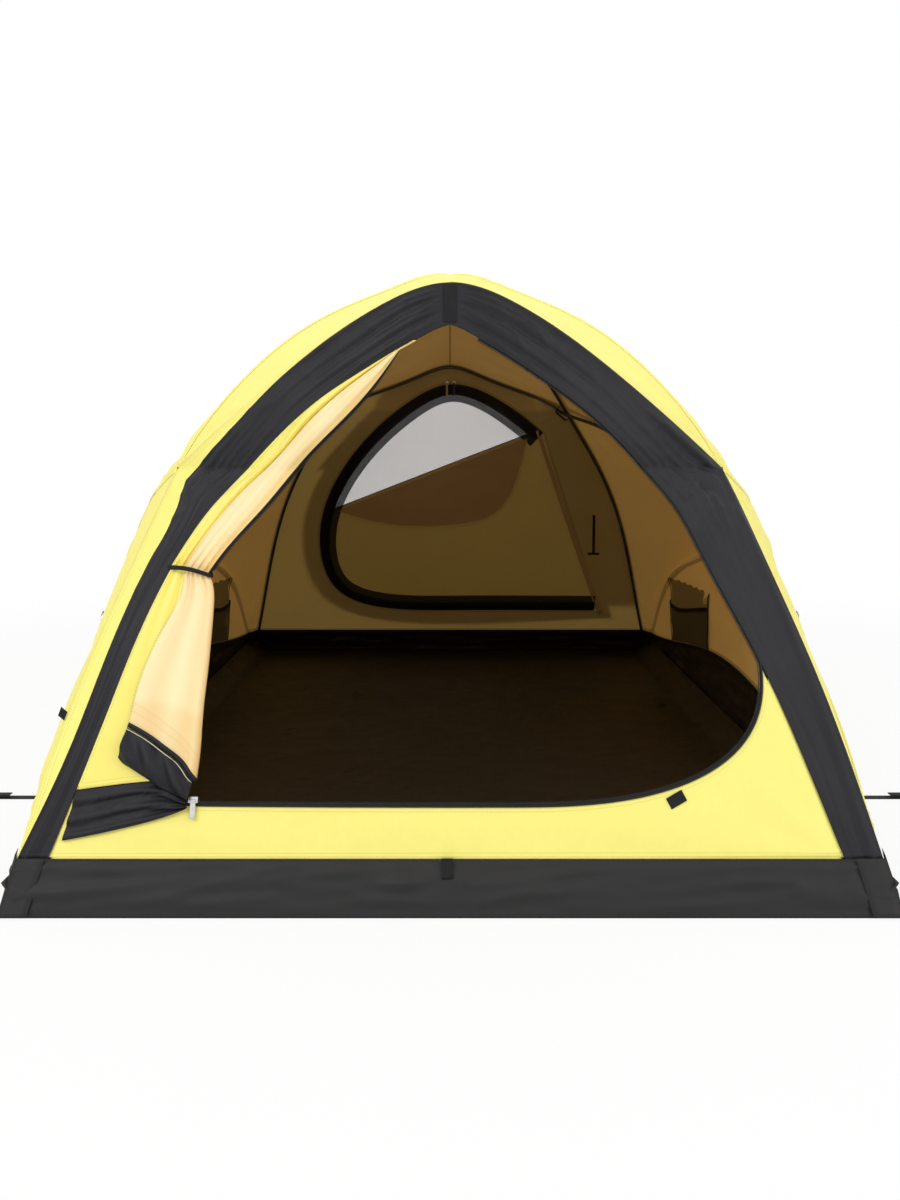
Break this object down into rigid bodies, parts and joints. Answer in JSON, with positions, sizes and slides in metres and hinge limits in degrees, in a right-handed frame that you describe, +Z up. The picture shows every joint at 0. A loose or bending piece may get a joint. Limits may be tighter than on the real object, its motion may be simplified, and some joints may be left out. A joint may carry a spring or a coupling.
{
  "type": "dome tent",
  "caption": "Single-wall dome tent on crossed bent poles, with a tub floor, a tied-back front door and a rear door with a net window.",
  "frame": {"origin": "middle of the floor's underside", "axes": "+Z up; the front door faces -Y, the rear door faces +Y, +X is to the right seen from the front"},
  "size_m": [1.8448, 2.36, 1.055],
  "materials": {
    "yellow_cloth": "coated plain-weave nylon, lemon yellow outside and warm brown light inside",
    "black_cloth": "coated plain-weave nylon, charcoal black",
    "floor_cloth": "heavy coated nylon, near black with a slight sheen",
    "inner_cloth": "peach-coloured inner face of the yellow cloth",
    "net": "fine insect netting",
    "webbing": "black woven nylon webbing",
    "pole_tube": "dark anodised tube",
    "black_plastic": "moulded, matt",
    "zinc_metal": "die-cast, nickel plated"
  },
  "bodies": {
    "root": {"corner_cups_front_left": "black_plastic", "corner_cups_front_right": "black_plastic", "corner_cups_rear_left": "black_plastic", "corner_cups_rear_right": "black_plastic", "crown_strip": "black_cloth", "diagonal_pole_1": "pole_tube", "diagonal_pole_2": "pole_tube", "door_flap_upper": "inner_cloth", "door_hook_patch": "webbing", "door_tie_strap": "webbing", "door_zip": "black_plastic", "front_arch_pole": "pole_tube", "front_band_left": "black_cloth", "front_band_right": "black_cloth", "front_sill_panel": "yellow_cloth", "guy_tab_left": "webbing", "guy_tab_right": "webbing", "hem_tab": "webbing", "leg_tab_left": "webbing", "pocket_left": "net", "pocket_right": "net", "rear_arch_pole": "pole_tube", "rear_wall": "yellow_cloth", "rear_zip_slider_left": "zinc_metal", "rear_zip_slider_right": "zinc_metal", "roof_front": "yellow_cloth", "roof_rear": "yellow_cloth", "side_front_left": "yellow_cloth", "side_front_right": "yellow_cloth", "side_lower_left": "yellow_cloth", "side_lower_right": "yellow_cloth", "side_rear_left": "yellow_cloth", "side_rear_right": "yellow_cloth", "side_roof_left": "yellow_cloth", "side_roof_right": "yellow_cloth", "tie_front_left": "webbing", "tie_front_right": "webbing", "tie_peak": "webbing", "tie_rear_left": "webbing", "tie_rear_right": "webbing", "tie_side_left": "webbing", "tie_side_right": "webbing", "tub_floor": "floor_cloth", "zipped_door_strip": "black_cloth"},
    "front_slider": {"front_zip_slider": "zinc_metal"},
    "front_pull": {"front_zip_pull": "zinc_metal"},
    "stake_strap_right": {"stake_strap_right": "webbing", "stake_ring_right": "zinc_metal"},
    "stake_strap_left": {"stake_strap_left": "webbing", "stake_ring_left": "zinc_metal"},
    "guy_ring_right": {"guy_ring_right": "zinc_metal"},
    "guy_ring_left": {"guy_ring_left": "zinc_metal"},
    "door_tail": {"door_flap_tail": "inner_cloth"},
    "rear_door": {"rear_door_panel": "yellow_cloth", "rear_door_net": "net", "rear_window_cover": "yellow_cloth", "rear_zip_band": "black_cloth"},
    "rear_pull_right": {"rear_zip_pull_right": "zinc_metal"},
    "rear_pull_left": {"rear_zip_pull_left": "zinc_metal"},
    "rear_tie": {"rear_tie": "webbing"}
  },
  "joints": [
    {"name": "front_slider_travel", "type": "slide", "parent": "root", "child": "front_slider", "axis": [0.9993, -0.0357, -0.0111], "range_m": [0, 0.1]},
    {"name": "front_pull_flip", "type": "hinge", "parent": "front_slider", "child": "front_pull", "pos_m": [-0.37621, -1.12505, 0.15871], "axis": [-0.9993, 0.0357, 0.0111], "range_deg": [0, 110]},
    {"name": "stake_strap_right_lift", "type": "hinge", "parent": "root", "child": "stake_strap_right", "pos_m": [0.651, -0.56, 0.0011], "axis": [0, -1, 0], "range_deg": [0, 80]},
    {"name": "stake_strap_left_lift", "type": "hinge", "parent": "root", "child": "stake_strap_left", "pos_m": [-0.651, -0.56, 0.0011], "axis": [0, 1, 0], "range_deg": [0, 80]},
    {"name": "guy_ring_right_swing", "type": "hinge", "parent": "root", "child": "guy_ring_right", "pos_m": [0.64445, -0.60093, 0.35378], "axis": [-0.193, -0.3332, 0.9229], "range_deg": [0, 120]},
    {"name": "guy_ring_left_swing", "type": "hinge", "parent": "root", "child": "guy_ring_left", "pos_m": [-0.64445, -0.60093, 0.35378], "axis": [-0.193, 0.3332, -0.9229], "range_deg": [0, 120]},
    {"name": "door_tail_swing", "type": "hinge", "parent": "root", "child": "door_tail", "pos_m": [-0.4201, -0.97, 0.47], "axis": [-0.3524, -0.3853, -0.8529], "range_deg": [0, 35]},
    {"name": "rear_door_swing", "type": "hinge", "parent": "root", "child": "rear_door", "pos_m": [0.481, 1.1293, 0.146], "axis": [0.304, 0.4998, -0.8111], "range_deg": [0, 60]},
    {"name": "rear_pull_right_flip", "type": "hinge", "parent": "root", "child": "rear_pull_right", "pos_m": [0.012, 0.78393, 0.85417], "axis": [-1, 0, 0], "range_deg": [0, 110]},
    {"name": "rear_pull_left_flip", "type": "hinge", "parent": "root", "child": "rear_pull_left", "pos_m": [-0.009, 0.78408, 0.85417], "axis": [-1, 0, 0], "range_deg": [0, 110]},
    {"name": "rear_tie_swing", "type": "hinge", "parent": "root", "child": "rear_tie", "pos_m": [0.438, 0.91104, 0.463], "axis": [-1, 0, 0], "range_deg": [0, 70]}
  ]
}
